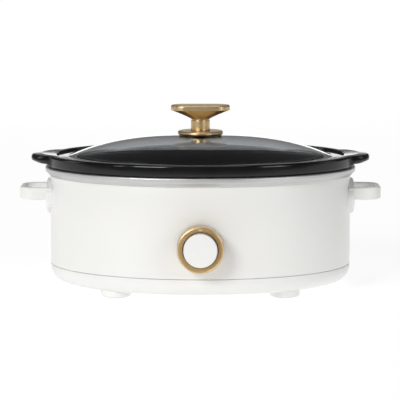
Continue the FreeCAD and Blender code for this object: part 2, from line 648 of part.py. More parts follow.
def both_ends(node, solid):
    """The solid as the right-hand piece and its mirror image as the left-hand one."""
    piece("right_" + node, group("right_" + node, [solid]))
    piece("left_" + node, other_end("left_" + node, solid))


def side_handles():
    trim = oval_stack("handle_trim", [("shell_a + 0.05", "pan_bottom"), ("shell_a + 0.05", "rim_top")])
    both_ends("handle", handle_solid(trim))
    plate = box("plate_blank", "1.2", "50", "16", x="shell_a - 5.2", z="pad_level - 8")
    plate_holes = [cylinder("plate_hole", "2.1", "20", x="shell_a - 15", y=side + "bolt_y", z="pad_level",
                            turn=ALONG_X) for side in ("", "-1 * ")]
    both_ends("handle_plate", cut("handle_plate", plate, plate_holes))
    screws = []
    for side in ("", "-1 * "):
        head = cylinder("handle_screw_head", "4", "2.6", x="shell_a - 8.4", y=side + "bolt_y",
                        z="pad_level", turn=ALONG_X)
        shank = cylinder("handle_screw_shank", "1.95", "7.4", x="shell_a - 5.8", y=side + "bolt_y",
                         z="pad_level", turn=ALONG_X)
        screws.append(fuse("handle_screw", [head, shank]))
    both_ends("handle_screws", group("handle_screws", screws))


# -------------------------------------------------------------------------- crock

def crock_lug():
    """A lug on the right end: level on top, rising underneath, rounded in plan."""
    body = doc.addObject("PartDesign::Body", "lug_body")
    side_view = flat_sketch(body, "lug_side", "XZ_Plane")
    closed_outline(side_view, [
        ("rim_a - 20", "rim_bottom"), ("rim_a - 3", "rim_bottom"), ("rim_a + 1", "rim_bottom + 3.8"),
        ("lug_reach - 6", "lug_top - 10.8"),
        ("lug_reach - 2", "lug_top - 9.4"), ("lug_reach", "lug_top - 6"), ("lug_reach - 0.8", "lug_top - 3"),
        ("lug_reach - 4", "lug_top - 0.6"), ("lug_reach - 8", "lug_top"), ("rim_a - 9", "lug_top"),
        ("rim_a - 20", "ledge_height")])
    pad(body, side_view, "lug_pad", "2 * lug_half_width", both_ways=True)
    plan = cylinder("lug_plan", "lug_round", "30", x="lug_reach - lug_round", z="rim_bottom - 5")
    common = doc.addObject("Part::MultiCommon", "crock_lug")
    common.Shapes = [body, plan]
    return common


def crock():
    wall_top = well_at("rim_bottom", "- well_wall - crock_gap")
    wall_bottom = well_at("crock_bottom", "- well_wall - crock_gap")
    wall = rounded("crock_wall", oval_stack("crock_wall_blank", [
        (wall_bottom, "crock_bottom"), (wall_top, "rim_bottom + 2")]), size("crock_foot_round"),
        level_edge(size("crock_bottom"), size(wall_bottom)))
    band = oval_stack("rim_blank", [("rim_a - 1.2", "rim_bottom"), ("rim_a", "rim_bottom + 1.4"),
                                    ("rim_a", "rim_top")])
    rim = rounded("rim_rounded", band, size("rim_round"), level_edge(size("rim_top"), size("rim_a")))
    lug = crock_lug()
    body = fuse("crock_body", [wall, rim, lug, other_end("crock_lug_left", lug)])
    recess = oval_stack("lid_recess", [("ledge_a", "ledge_height"), ("ledge_a + 0.6", "lug_top + 3")])
    floor_top = "crock_bottom + crock_floor"
    cavity_bottom = well_at(floor_top, "- well_wall - crock_gap - crock_wall")
    cavity = rounded("crock_cavity", oval_stack("cavity_blank", [
        (cavity_bottom, floor_top),
        (well_at("ledge_height", "- well_wall - crock_gap - crock_wall"), "ledge_height + 1")]),
        size("cavity_round"), level_edge(size(floor_top), size(cavity_bottom)))
    under = oval_stack("crock_under", [("well_bottom_a - 24", "crock_bottom - 2"),
                                       ("well_bottom_a - 24", "crock_bottom + 1.5")])
    return piece("crock", cut("crock", body, [recess, cavity, under]))


# ---------------------------------------------------------------------------- lid

def dome(name, half_length, foot_level, apex):
    """A dome that is nearly flat on top and turns down towards its edge."""
    sections = []
    for share in ("1", "0.97", "0.92", "0.84", "0.72", "0.57", "0.4", "0.22", "0.08"):
        level = "%s - ( %s - ( %s ) ) * %s ^ dome_power" % (apex, apex, foot_level, share)
        sections.append(("( %s ) * %s" % (half_length, share), level,
                         "( %s - oval_step ) * %s" % (half_length, share)))
    return oval_stack(name, sections, ruled=False)


def lid_glass():
    flange = oval_stack("lid_flange", [
        ("lid_a - 0.8", "lid_bottom"), ("lid_a", "lid_bottom + 0.8"), ("lid_a", "lid_bottom + lid_flange - 1"),
        ("lid_a - 1", "lid_bottom + lid_flange")])
    top = dome("lid_dome", "dome_a", "lid_bottom", "lid_apex")
    hollow = dome("lid_hollow", "dome_a - 2", "lid_bottom - lid_glass_wall",
                  "lid_apex - lid_glass_wall + seal_room")
    hole = cylinder("lid_hole", "3.6", "30", z="lid_apex - 20")
    return piece("lid_glass", cut("lid_glass", fuse("lid_joined", [flange, top]), [hollow, hole]))


def lid_knob():
    seat = "lid_apex + gasket_height"
    under = "lid_apex - lid_glass_wall"
    disc = turned("lid_knob_base", [
        ("2.7", seat), ("12.6", seat), ("12.6", "lid_apex + 0.3"), ("knob_disc_radius - 1.2", "lid_apex + 0.3"),
        ("knob_disc_radius", "lid_apex + 1.6"), ("knob_disc_radius - 0.2", "knob_disc_top - 1.8"),
        ("knob_disc_radius - 1.4", "knob_disc_top - 0.5"), ("knob_disc_radius - 3", "knob_disc_top"),
        ("2.7", "knob_disc_top")])
    piece("lid_knob_base", disc)
    piece("lid_knob_gasket_upper", turned("lid_knob_gasket_upper", [
        ("3", "lid_apex"), ("12", "lid_apex"), ("12", seat), ("3", seat)]))
    piece("lid_knob_stem", turned("lid_knob_stem", [
        ("2.6", "knob_disc_top"), ("stem_radius", "knob_disc_top"), ("stem_radius", "stem_top"),
        ("2.6", "stem_top")]))
    piece("lid_knob_gasket_lower", turned("lid_knob_gasket_lower", [
        ("3", under + " - gasket_height"), ("9", under + " - gasket_height"), ("9", under), ("3", under)]))
    washer_top = under + " - gasket_height"
    piece("lid_knob_washer", turned("lid_knob_washer", [
        ("2.7", washer_top + " - 1.2"), ("8", washer_top + " - 1.2"), ("8", washer_top), ("2.7", washer_top)]))
    head_top = washer_top + " - 1.2"
    piece("lid_knob_screw", turned("lid_knob_screw", [
        ("0", head_top + " - 1.4"), ("1.8", head_top + " - 1.4"), ("1.8", head_top + " - 2.8"),
        ("3.4", head_top + " - 2.8"), ("4.6", head_top + " - 1.6"), ("4.6", head_top), ("2.5", head_top),
        ("2.5", "stem_top - 2"), ("0", "stem_top - 2")]))


def knob_grip():
    """A slot-shaped grip that flares from the round stem to an upright band."""
    body = doc.addObject("PartDesign::Body", "grip_body")
    run = "grip_half_length - grip_half_width"
    sections = [
        ("0.3", "stem_radius", "stem_top"),
        ("( %s ) * 0.42" % run, "stem_radius + 1.8", "stem_top + 4.9"),
        ("( %s ) * 0.97" % run, "grip_half_width - 0.5", "grip_band_bottom"),
        (run, "grip_half_width", "grip_band_bottom + 0.7"),
        (run, "grip_half_width", "grip_top - 1.2"),
        ("( %s ) * 0.98" % run, "grip_half_width - 0.9", "grip_top")]
    slots = [slot_sketch(body, "grip_slot_%d" % i, *section) for i, section in enumerate(sections)]
    loft = body.newObject("PartDesign::AdditiveLoft", "grip_loft")
    loft.Profile = slots[0]
    loft.Sections = slots[1:]
    loft.Ruled = True
    return piece("lid_knob_grip", body)


# --------------------------------------------------------------------------- dial

def dial():
    """Turned pieces on the switch shaft, drawn outwards from the shell's face."""
    back, front = "dial_standoff", "dial_standoff + dial_depth"

    def on_front(node, thing):
        return piece(node, thing, y="- shell_b", z="dial_height", turn=ALONG_FRONT)

    skirt = turned("dial_skirt", [
        ("cap_radius + cap_gap", back + " + 5"), ("cap_radius + cap_gap", front + " - 5"),
        ("dial_radius - 1.6", front + " - 0.2"), ("dial_radius - 0.9", front),
        ("dial_radius - 0.2", front + " - 0.5"), ("dial_radius", front + " - 1.3"), ("dial_radius", back),
        ("dial_radius - 1.6", back), ("dial_radius - 1.6", front + " - 3.4"),
        ("cap_radius + cap_gap + 1.5", front + " - 7"), ("cap_radius + cap_gap + 1.5", back + " + 5")])
    inlay = box("inlay_room", "marker_width", "marker_height", "2.4", y="marker_radius", z=front + " - 3.2")
    on_front("dial_skirt", cut("dial_skirt", skirt, [inlay]))
    marker = box("marker_blank", "marker_width", "marker_height", "1.6", y="marker_radius", z=front + " - 3.2")
    on_front("dial_marker", group("dial_marker", [marker]))
    cap_front = front + " + cap_proud"
    on_front("dial_cap", turned("dial_cap", [
        ("0", cap_front + " - 2"), ("cap_radius - 2", cap_front + " - 2"), ("cap_radius - 2", back + " + 5.2"),
        ("cap_radius", back + " + 5.2"), ("cap_radius", cap_front + " - 1.4"),
        ("cap_radius - 0.4", cap_front + " - 0.4"), ("cap_radius - 1.4", cap_front), ("0", cap_front)]))
    hub = turned("dial_hub", [
        ("shaft_radius + 0.02", back), ("8", back), ("8", back + " + 2.6"),
        ("dial_radius - 1.7", back + " + 2.6"), ("dial_radius - 1.7", back + " + 5"),
        ("8", back + " + 5"), ("8", cap_front + " - 2.1"), ("shaft_radius + 0.02", cap_front + " - 2.1")])
    on_front("dial_hub", hub)
    shaft = turned("switch_shaft", [
        ("0", "- shaft_back"), ("9", "- shaft_back"), ("9", "- shaft_back + 4.6"),
        ("shaft_radius", "- shaft_back + 4.6"), ("shaft_radius", front), ("0", front)])
    flat = box("shaft_flat", "10", "4", "10", y="shaft_radius + 1.2", z=front + " - 10")
    on_front("switch_shaft", cut("switch_shaft", shaft, [flat]))


# ------------------------------------------------------------------------- build

block = pan_block()
housing_shell()
base_pan(block)
for foot_name, foot_x, foot_y in foot_places():
    foot(foot_name, foot_x, foot_y, block)
foot_screws()
rim_ring()
heating_well()
heater()
heat_shield()
well_fastening()
thermal_fuse()
rotary_switch()
wiring()
cord_gland()
side_handles()
crock()
lid_glass()
lid_knob()
knob_grip()
dial()
doc.recompute()

failed = [thing.Label for thing in doc.Objects
          if "Invalid" in thing.State or "Error" in thing.State]
for thing in pieces:
    shape = thing.Shape
    if shape.isNull() or not shape.isValid() or not shape.Solids:
        failed.append(thing.Label)
if failed:
    raise RuntimeError("failed: " + ", ".join(failed))

os.makedirs("parts", exist_ok=True)
for thing in pieces:
    thing.Shape.exportStep("parts/%s.step" % thing.Label)
print("%d pieces written" % len(pieces))
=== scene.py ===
"""Looks of an oval slow cooker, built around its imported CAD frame.

Lengths are in millimetres about the middle of the oval housing, and become metres in the
row frame when a mesh is finished. Ovals are ellipses whose half width is STEP less than
their half length, as in the CAD.
"""

import json
import math

import bmesh
import bpy
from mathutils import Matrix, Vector


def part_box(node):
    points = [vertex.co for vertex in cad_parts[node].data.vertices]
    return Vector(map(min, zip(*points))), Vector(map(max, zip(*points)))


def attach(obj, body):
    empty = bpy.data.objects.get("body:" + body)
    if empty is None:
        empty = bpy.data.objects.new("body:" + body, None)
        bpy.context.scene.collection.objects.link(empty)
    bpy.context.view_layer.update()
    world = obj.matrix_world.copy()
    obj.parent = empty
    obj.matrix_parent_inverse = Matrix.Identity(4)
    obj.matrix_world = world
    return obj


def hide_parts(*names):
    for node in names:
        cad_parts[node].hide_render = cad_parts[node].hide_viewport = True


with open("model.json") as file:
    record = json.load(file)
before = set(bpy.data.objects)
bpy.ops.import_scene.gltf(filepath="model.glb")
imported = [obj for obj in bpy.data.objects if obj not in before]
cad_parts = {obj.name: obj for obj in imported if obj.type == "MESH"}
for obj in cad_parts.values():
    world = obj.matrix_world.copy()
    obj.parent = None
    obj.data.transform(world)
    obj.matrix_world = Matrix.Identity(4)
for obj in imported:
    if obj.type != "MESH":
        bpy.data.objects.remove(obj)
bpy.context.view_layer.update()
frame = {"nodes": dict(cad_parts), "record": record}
nodes = frame["nodes"]

MM = 0.001
TAU = 2 * math.pi


# ------------------------------------------------------------------ sizes from the frame

def middle_of(node):
    low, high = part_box(node)
    return (low + high) / 2


HOUSING_MIDDLE = Vector((0, middle_of("housing_shell").y, 0))


class Size:
    """A node's box in millimetres about the oval's middle."""

    def __init__(self, node):
        low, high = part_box(node)
        low, high = (low - HOUSING_MIDDLE) / MM, (high - HOUSING_MIDDLE) / MM
        self.left, self.right = low.x, high.x
        self.front, self.back = low.y, high.y
        self.bottom, self.top = low.z, high.z
        self.a, self.b = (high.x - low.x) / 2, (high.y - low.y) / 2


SHELL, PAN, RING = Size("housing_shell"), Size("base_pan"), Size("rim_ring")
CROCK, LID, HANDLE = Size("crock"), Size("lid_glass"), Size("right_handle")
DISC, STEM, GRIP = Size("lid_knob_base"), Size("lid_knob_stem"), Size("lid_knob_grip")
SKIRT, CAP = Size("dial_skirt"), Size("dial_cap")
STEP = SHELL.a - SHELL.b


# ---------------------------------------------------------------------- mesh helpers

def softened(corners, closed=True, steps=5):
    """An outline of (u, v, radius) corners with each corner turned into an arc."""
    points = []
    count = len(corners)
    for i, (u, v, radius) in enumerate(corners):
        here = Vector((u, v))
        at_end = not closed and i in (0, count - 1)
        if radius == 0 or at_end:
            points.append((u, v))
            continue
        before = Vector(corners[i - 1][:2]) - here
        after = Vector(corners[(i + 1) % count][:2]) - here
        half = before.angle(after) / 2
        reach = min(radius / math.tan(half), 0.48 * before.length, 0.48 * after.length)
        before.normalize()
        after.normalize()
        centre = here + (before + after).normalized() * reach / math.cos(half)
        start, end = here + before * reach - centre, here + after * reach - centre
        turn = start.angle_signed(end)
        for k in range(steps + 1):
            angle = -turn * k / steps
            spoke = Vector((start.x * math.cos(angle) - start.y * math.sin(angle),
                            start.x * math.sin(angle) + start.y * math.cos(angle)))
            points.append(tuple(centre + spoke))
    return points


def skin(bm, loops, closed):
    """Faces between neighbouring loops of points; a loop of one point is a pole."""
    rows = [[bm.verts.new(point) for point in loop] for loop in loops]
    pairs = list(zip(rows, rows[1:])) + ([(rows[-1], rows[0])] if closed else [])
    for first, second in pairs:
        count = max(len(first), len(second))
        for k in range(count):
            n = (k + 1) % count
            corners = [first[k % len(first)], first[n % len(first)],
                       second[n % len(second)], second[k % len(second)]]
            corners = list(dict.fromkeys(corners))
            if len(corners) > 2:
                bm.faces.new(corners)


def cap(bm, loop):
    """One flat face across a loop of points."""
    bm.faces.new([bm.verts.new(point) for point in loop])


def oval(a, level, segments=256, half_width=None):
    b = a - STEP if half_width is None else half_width
    return [(a * math.cos(TAU * k / segments), b * math.sin(TAU * k / segments), level)
            for k in range(segments)]


def circle(radius, level, segments=96):
    """A level circle about the Z axis, or its pole when the radius is nothing."""
    if radius < 1e-6:
        return [(0.0, 0.0, level)]
    return oval(radius, level, segments, radius)


def outwards(loop, y, z):
    """A loop drawn about +Z, turned to look out of the housing's front."""
    return [(u, y - w, z + v) for u, v, w in loop]


def finish_piece(name, bm, material, body, node, sharp=38):
    """The mesh as an object in the row frame, riding on its body in place of a CAD node."""
    bmesh.ops.remove_doubles(bm, verts=bm.verts, dist=1e-5)
    bmesh.ops.recalc_face_normals(bm, faces=bm.faces)
    for vertex in bm.verts:
        vertex.co = vertex.co * MM + HOUSING_MIDDLE
    mesh = bpy.data.meshes.new(name)
    bm.to_mesh(mesh)
    bm.free()
    mesh.shade_smooth()
    mesh.set_sharp_from_angle(angle=math.radians(sharp))
    mesh.materials.append(material)
    piece = bpy.data.objects.new(name, mesh)
    bpy.context.scene.collection.objects.link(piece)
    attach(piece, body)
    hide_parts(node)


# -------------------------------------------------------------------------- materials

def new_material(name, **values):
    """A Principled material whose uniform values sit on the shader's own sockets."""
    material = bpy.data.materials.new(name)
    material.use_nodes = True
    shader = material.node_tree.nodes["Principled BSDF"]
    for socket, value in values.items():
        shader.inputs[socket.replace("_", " ")].default_value = value
    return material, material.node_tree, shader


def coordinates(tree, stretch=(1, 1, 1)):
    """Object coordinates in metres, stretched along each axis."""
    place = tree.nodes.new("ShaderNodeTexCoord")
    mapping = tree.nodes.new("ShaderNodeMapping")
    mapping.inputs["Scale"].default_value = stretch
    tree.links.new(place.outputs["Object"], mapping.inputs["Vector"])
    return mapping.outputs["Vector"]


def noise(tree, scale, detail=2.0, stretch=(1, 1, 1), roughness=0.5):
    texture = tree.nodes.new("ShaderNodeTexNoise")
    texture.inputs["Scale"].default_value = scale
    texture.inputs["Detail"].default_value = detail
    texture.inputs["Roughness"].default_value = roughness
    tree.links.new(coordinates(tree, stretch), texture.inputs["Vector"])
    return texture.outputs["Fac"]


def spread(tree, source, low, high, start=0.3, end=0.7):
    """A texture's middle range mapped to a range of values."""
    ranged = tree.nodes.new("ShaderNodeMapRange")
    ranged.inputs["From Min"].default_value = start
    ranged.inputs["From Max"].default_value = end
    ranged.inputs["To Min"].default_value = low
    ranged.inputs["To Max"].default_value = high
    tree.links.new(source, ranged.inputs["Value"])
    return ranged.outputs["Result"]


def tinted(tree, source, shader, dark, light):
    """Base colour drifting between two tones."""
    mix = tree.nodes.new("ShaderNodeMix")
    mix.data_type = "RGBA"
    mix.inputs["A"].default_value = (*dark, 1)
    mix.inputs["B"].default_value = (*light, 1)
    tree.links.new(spread(tree, source, 0, 1), mix.inputs["Factor"])
    tree.links.new(mix.outputs["Result"], shader.inputs["Base Color"])


def bumped(tree, source, shader, strength, distance):
    bump = tree.nodes.new("ShaderNodeBump")
    bump.inputs["Strength"].default_value = strength
    bump.inputs["Distance"].default_value = distance
    tree.links.new(source, bump.inputs["Height"])
    tree.links.new(bump.outputs["Normal"], shader.inputs["Normal"])


def white_paint():
    """Baked enamel: satin, with a faint orange peel."""
    material, tree, shader = new_material(
        "white_paint", Coat_Weight=0.25, Coat_Roughness=0.18, IOR=1.5)
    tinted(tree, noise(tree, 9, 2), shader, (0.842, 0.838, 0.812), (0.862, 0.858, 0.834))
    tree.links.new(spread(tree, noise(tree, 60, 3), 0.34, 0.42), shader.inputs["Roughness"])
    bumped(tree, noise(tree, 900, 2), shader, 0.12, 0.00008)
    return material


def white_plastic():
    """Moulded plastic with a fine spark-eroded grain."""
    material, tree, shader = new_material(
        "white_plastic", IOR=1.47, Subsurface_Weight=0.06, Subsurface_Radius=(0.004, 0.004, 0.003),
        Subsurface_Scale=1.0)
    tinted(tree, noise(tree, 12, 2), shader, (0.845, 0.842, 0.822), (0.868, 0.865, 0.846))
    tree.links.new(spread(tree, noise(tree, 140, 3), 0.36, 0.46), shader.inputs["Roughness"])
    bumped(tree, noise(tree, 2600, 3), shader, 0.16, 0.00006)
    return material


def brushed(name, dark, light, low, high, stretch, scale=160):
    """Metal with fine brush lines that run across the stretched axis."""
    material, tree, shader = new_material(name, Metallic=1.0)
    lines = noise(tree, scale, 4, stretch, 0.65)
    tinted(tree, lines, shader, dark, light)
    tree.links.new(spread(tree, lines, low, high), shader.inputs["Roughness"])
    bumped(tree, lines, shader, 0.10, 0.00005)
    return material


def black_glaze():
    """Thick black glaze over stoneware: glossy, faintly wavy, with small pits."""
    material, tree, shader = new_material("black_glaze", IOR=1.42)
    tinted(tree, noise(tree, 25, 3), shader, (0.004, 0.004, 0.0045), (0.008, 0.008, 0.0085))
    tree.links.new(spread(tree, noise(tree, 120, 3), 0.08, 0.16), shader.inputs["Roughness"])
    bumped(tree, noise(tree, 55, 3, (1, 1, 1.6)), shader, 0.14, 0.0005)
    return material


def smoked_glass():
    """Tempered glass with a grey tint."""
    material, tree, shader = new_material(
        "smoked_glass", Transmission_Weight=1.0, IOR=1.5, Base_Color=(0.42, 0.435, 0.45, 1))
    tree.links.new(spread(tree, noise(tree, 30, 2), 0.004, 0.018), shader.inputs["Roughness"])
    return material


def matt(name, dark, light, low, high):
    """A plain moulded or rubbery surface with tone, sheen and grain variation."""
    grain = 900
    material, tree, shader = new_material(name)
    tinted(tree, noise(tree, 40, 3), shader, dark, light)
    tree.links.new(spread(tree, noise(tree, grain / 4, 3), low, high), shader.inputs["Roughness"])
    bumped(tree, noise(tree, grain, 2), shader, 0.15, 0.0001)
    return material


LOOKS = {
    "white_paint": white_paint(),
    "white_plastic": white_plastic(),
    "satin_steel": brushed("satin_steel", (0.58, 0.58, 0.575), (0.66, 0.66, 0.655),
        0.38, 0.46, (1, 1, 60), 40),
    "well_aluminium": brushed("well_aluminium", (0.56, 0.56, 0.57), (0.70, 0.70, 0.71),
        0.34, 0.5, (1, 1, 10)),
    "heater_wrap": brushed("heater_wrap", (0.5, 0.5, 0.5), (0.62, 0.62, 0.61), 0.4, 0.6, (1, 1, 6)),
    "zinc_steel": brushed("zinc_steel", (0.52, 0.53, 0.54), (0.66, 0.67, 0.69), 0.3, 0.45, (2, 2, 2), 260),
    "gold_metal": brushed("gold_metal", (0.64, 0.47, 0.25), (0.74, 0.56, 0.32), 0.32, 0.40, (1, 1, 9), 220),
    "terminal_brass": brushed("terminal_brass", (0.62, 0.46, 0.2), (0.75, 0.57, 0.28), 0.3, 0.45, (2, 2, 2)),
    "black_glaze": black_glaze(),
    "smoked_glass": smoked_glass(),
    "black_plastic": matt("black_plastic", (0.018, 0.018, 0.019), (0.03, 0.03, 0.031), 0.4, 0.55),
    "lead_sleeve": matt("lead_sleeve", (0.66, 0.65, 0.6), (0.74, 0.73, 0.68), 0.5, 0.65),
    "marker_white": matt("marker_white", (0.86, 0.78, 0.58), (0.92, 0.85, 0.66), 0.35, 0.5),
    "silicone": matt("silicone", (0.5, 0.5, 0.49), (0.58, 0.58, 0.57), 0.5, 0.65),
}


def dress_cad_nodes():
    """Every carried-over CAD node gets the look of its slot."""
    for entry in frame["record"]["subparts"]:
        mesh = nodes[entry["node"]].data
        mesh.materials.clear()
        mesh.materials.append(LOOKS[entry["material_slot"]])


# ----------------------------------------------------------------------------- housing

def painted_shell():
    wall = 1.2
    outline = softened([
        (SHELL.a, SHELL.bottom, 0.5), (SHELL.a, SHELL.top, 0.5), (SHELL.a - 7, SHELL.top, 0.3),
        (SHELL.a - 7, SHELL.top - wall, 0.3), (SHELL.a - wall, SHELL.top - wall, 0.4),
        (SHELL.a - wall, SHELL.bottom, 0.3)], steps=4)
    bm = bmesh.new()
    skin(bm, [oval(a, level) for a, level in outline], closed=True)
    finish_piece("painted_shell", bm, LOOKS["white_paint"], "housing", "housing_shell")


def trim_ring():
    """A rolled channel: slanted skirt, rounded bulge, flat top and an inner leg."""
    foot = RING.a - 4.6
    wall = 1.4
    bore = 173.0
    outline = softened([
        (foot, RING.bottom, 0.4), (foot + 0.4, RING.bottom + 1.3, 0.8),
        (RING.a - 0.2, RING.bottom + 4.8, 1.8), (RING.a, RING.top - 0.6, 1.5),
        (RING.a - 3, RING.top, 1.6), (bore, RING.top, 1.2),
        (bore, SHELL.top + 1.2, 0.3), (bore + wall, SHELL.top + 1.2, 0.3),
        (bore + wall, RING.top - wall, 0.5), (RING.a - wall, RING.top - wall, 1.0),
        (foot - wall + 0.4, RING.bottom, 0.2)], steps=6)
    bm = bmesh.new()
    skin(bm, [oval(a, level) for a, level in outline], closed=True)
    finish_piece("trim_ring", bm, LOOKS["satin_steel"], "housing", "rim_ring")


# ------------------------------------------------------------------------------- crock

LUG_ROUND = 42.0
LUG_REACH = CROCK.a
RIM_A = CROCK.b + STEP
LUG_BLEND = 6.0
LUG_TRIM = 0.47
FAR_BEHIND = -25.0
RIM_BOTTOM, RIM_TOP = 148.0, CROCK.top - 0.7
LEDGE = LID.bottom - 0.3


def lug_share(y):
    """How far the lug stands out of the oval rim at a place, from 0 to 1."""
    full = LUG_REACH - RIM_A
    rim_x = RIM_A * math.sqrt(max(0.0, 1 - (y / (RIM_A - STEP)) ** 2))
    if abs(y) < LUG_ROUND:
        ahead = LUG_REACH - LUG_ROUND + math.sqrt(LUG_ROUND ** 2 - y * y) - rim_x
    else:
        ahead = FAR_BEHIND
    reach = (ahead + math.sqrt(ahead * ahead + LUG_BLEND ** 2)) / 2 - LUG_TRIM
    return min(1.0, max(0.0, reach / full))


def crock_loop(a, level, push, lift, segments=384):
    """An oval whose ends are pushed out along X, and lifted, where the lugs are."""
    if a < 1e-6:
        return [(0.0, 0.0, level)]
    loop = []
    for k in range(segments):
        turn = TAU * k / segments
        x, y = a * math.cos(turn), max(a - STEP, a * 0.6) * math.sin(turn)
        share = lug_share((RIM_A - STEP) * math.sin(turn))
        x += math.copysign(push * share, x)
        loop.append((x, y, level + lift * min(1.0, 3.0 * share)))
    return loop


def stoneware_crock():
    """Foot, tapered wall, broad rim with a lug at each end, lid ledge and cavity."""
    full = LUG_REACH - RIM_A
    wall_top = 169.0
    wall_foot = 152.8
    cavity_top, cavity_foot = 161.5, 146.5
    floor = CROCK.bottom + 9
    outside = [
        (0, CROCK.bottom + 1.5, 0, 0, 0), (wall_foot - 20, CROCK.bottom + 1.5, 1.5, 0, 0),
        (wall_foot - 18, CROCK.bottom, 1.5, 0, 0), (wall_foot, CROCK.bottom, 12, 0, 0),
        (wall_top, RIM_BOTTOM, 2, 0, 0)]
    rim = [
        (RIM_A - 1.0, RIM_BOTTOM, 2.6, full - 4, 4.2), (RIM_A, RIM_BOTTOM + 3, 2.6, full, 4.4),
        (RIM_A, RIM_TOP - 0.1, 3.0, full, 0.0), (RIM_A - 8.5, RIM_TOP, 4.0, full - 4, 0.7),
        (LID.a + 2.1, RIM_TOP - 0.3, 1.2, 0, 0), (LID.a + 1.5, LEDGE, 0.8, 0, 0)]
    inside = [
        (cavity_top, LEDGE, 2.5, 0, 0), (cavity_foot, floor, 14, 0, 0), (0, floor, 0, 0, 0)]
    corners = outside + rim + inside
    outline = softened([corner[:3] for corner in corners], closed=False, steps=6)
    bm = bmesh.new()
    loops = []
    for a, level in outline:
        nearest = sorted(corners, key=lambda c: (c[0] - a) ** 2 + (c[1] - level) ** 2)[:2]
        weights = [1 / (0.3 + (c[0] - a) ** 2 + (c[1] - level) ** 2) for c in nearest]
        on_rim = level > RIM_BOTTOM - 0.1 and a > LID.a + 2.6
        push = sum(c[3] * w for c, w in zip(nearest, weights)) / sum(weights) if on_rim else 0
        lift = sum(c[4] * w for c, w in zip(nearest, weights)) / sum(weights) if on_rim else 0
        loops.append(crock_loop(a, level, push, lift))
    skin(bm, loops, closed=False)
    finish_piece("stoneware_crock", bm, LOOKS["black_glaze"], "crock", "crock", 50)


# --------------------------------------------------------------------------------- lid

DOME_A = 163.0
DOME_POWER = 2.8
DOME_FOOT = LID.bottom


def dome_level(a, drop=0.0):
    """Height of the dome's skin at a half length: nearly flat on top, turning down late."""
    return LID.top - drop - (LID.top - DOME_FOOT) * (a / DOME_A) ** DOME_POWER


def glass_dome():
    """A dome with a narrow flat flange and a polished edge, all one thickness of glass."""
    flange, glass = 2.2, 4.0
    top_at = [4, 12] + [20 + 6.8 * i for i in range(21)]
    skin_top = [(a, dome_level(a), 0) for a in top_at]
    skin_under = [(a - 1.2, dome_level(a, glass), 0) for a in top_at]
    outline = softened(
        skin_under
        + [(LID.a - 13, LID.bottom, 3.0), (LID.a, LID.bottom, 1.2),
           (LID.a, LID.bottom + flange, 1.5), (LID.a - 12, LID.bottom + flange, 4.0)]
        + skin_top[::-1], steps=7)
    ratio = LID.b / LID.a
    bm = bmesh.new()
    skin(bm, [oval(a, level, 288, a * ratio) for a, level in outline], closed=True)
    finish_piece("glass_dome", bm, LOOKS["smoked_glass"], "lid", "lid_glass", 60)


def knob_disc():
    outline = softened([
        (2.7, DISC.bottom + 0.6, 0), (12.6, DISC.bottom + 0.6, 0.2), (12.6, DISC.bottom, 0.2),
        (DISC.a, DISC.bottom, 2.3), (DISC.a, DISC.top, 2.3), (2.7, DISC.top, 0)], steps=10)
    bm = bmesh.new()
    skin(bm, [circle(r, z, 128) for r, z in outline], closed=True)
    finish_piece("knob_disc", bm, LOOKS["gold_metal"], "lid", "lid_knob_base")


def knob_stem():
    outline = softened([
        (2.6, STEM.bottom, 0), (STEM.a, STEM.bottom, 0.5), (STEM.a, STEM.top - 0.9, 0.3),
        (STEM.a - 0.9, STEM.top, 0.2), (2.6, STEM.top, 0)], steps=4)
    bm = bmesh.new()
    skin(bm, [circle(r, z, 96) for r, z in outline], closed=True)
    finish_piece("knob_stem", bm, LOOKS["gold_metal"], "lid", "lid_knob_stem")


def slot_loop(straight, radius, level, arc=28, side=14):
    """A slot outline along X: two half circles joined by straight sides."""
    loop = []
    for half, sign in ((0, 1), (math.pi, -1)):
        for k in range(arc + 1):
            turn = half - math.pi / 2 + math.pi * k / arc
            loop.append((sign * straight + radius * math.cos(turn), radius * math.sin(turn), level))
        for k in range(1, side):
            loop.append((sign * straight * (1 - 2 * k / side), sign * radius, level))
    return loop


def knob_grip():
    """Flares from the round stem to an upright band with a softly edged top."""
    run = GRIP.a - GRIP.b
    neck = STEM.a - 0.9
    band = GRIP.bottom + 11.8
    flare = []
    for k in range(13):
        share = k / 12
        flare.append((run * share ** 1.12, neck + (GRIP.b - neck) * share ** 1.3,
                      GRIP.bottom + 0.6 + (band - GRIP.bottom - 0.6) * share))
    section = [(0.02, neck, GRIP.bottom)] + flare[:-1]
    edge = softened([(0, band - 2, 0), (0.01, band, 0.9), (0, GRIP.top, 2.2), (-6, GRIP.top, 0)],
                    closed=False, steps=7)
    section += [(run, GRIP.b + inset, level) for inset, level in edge[1:-1]]
    bm = bmesh.new()
    loops = [slot_loop(straight, radius, level) for straight, radius, level in section]
    inner = [(run * 0.9, GRIP.b - 4, GRIP.top), (run * 0.5, GRIP.b * 0.4, GRIP.top)]
    loops += [slot_loop(straight, radius, level) for straight, radius, level in inner]
    skin(bm, loops, closed=False)
    cap(bm, loops[0])
    cap(bm, loops[-1])
    finish_piece("knob_grip", bm, LOOKS["gold_metal"], "lid", "lid_knob_grip", 30)


# -------------------------------------------------------------------------------- dial

DIAL_LEVEL = (SKIRT.bottom + SKIRT.top) / 2
FACE = SHELL.front


def dial_piece(name, corners, look, node, closed=True, steps=6):
    """A turned piece on the dial's axis; heights run outwards from the shell's face."""
    outline = softened(corners, closed=closed, steps=steps)
    bm = bmesh.new()
    skin(bm, [outwards(circle(r, h, 128), FACE, DIAL_LEVEL) for r, h in outline], closed)
    finish_piece(name, bm, LOOKS[look], "dial", node)


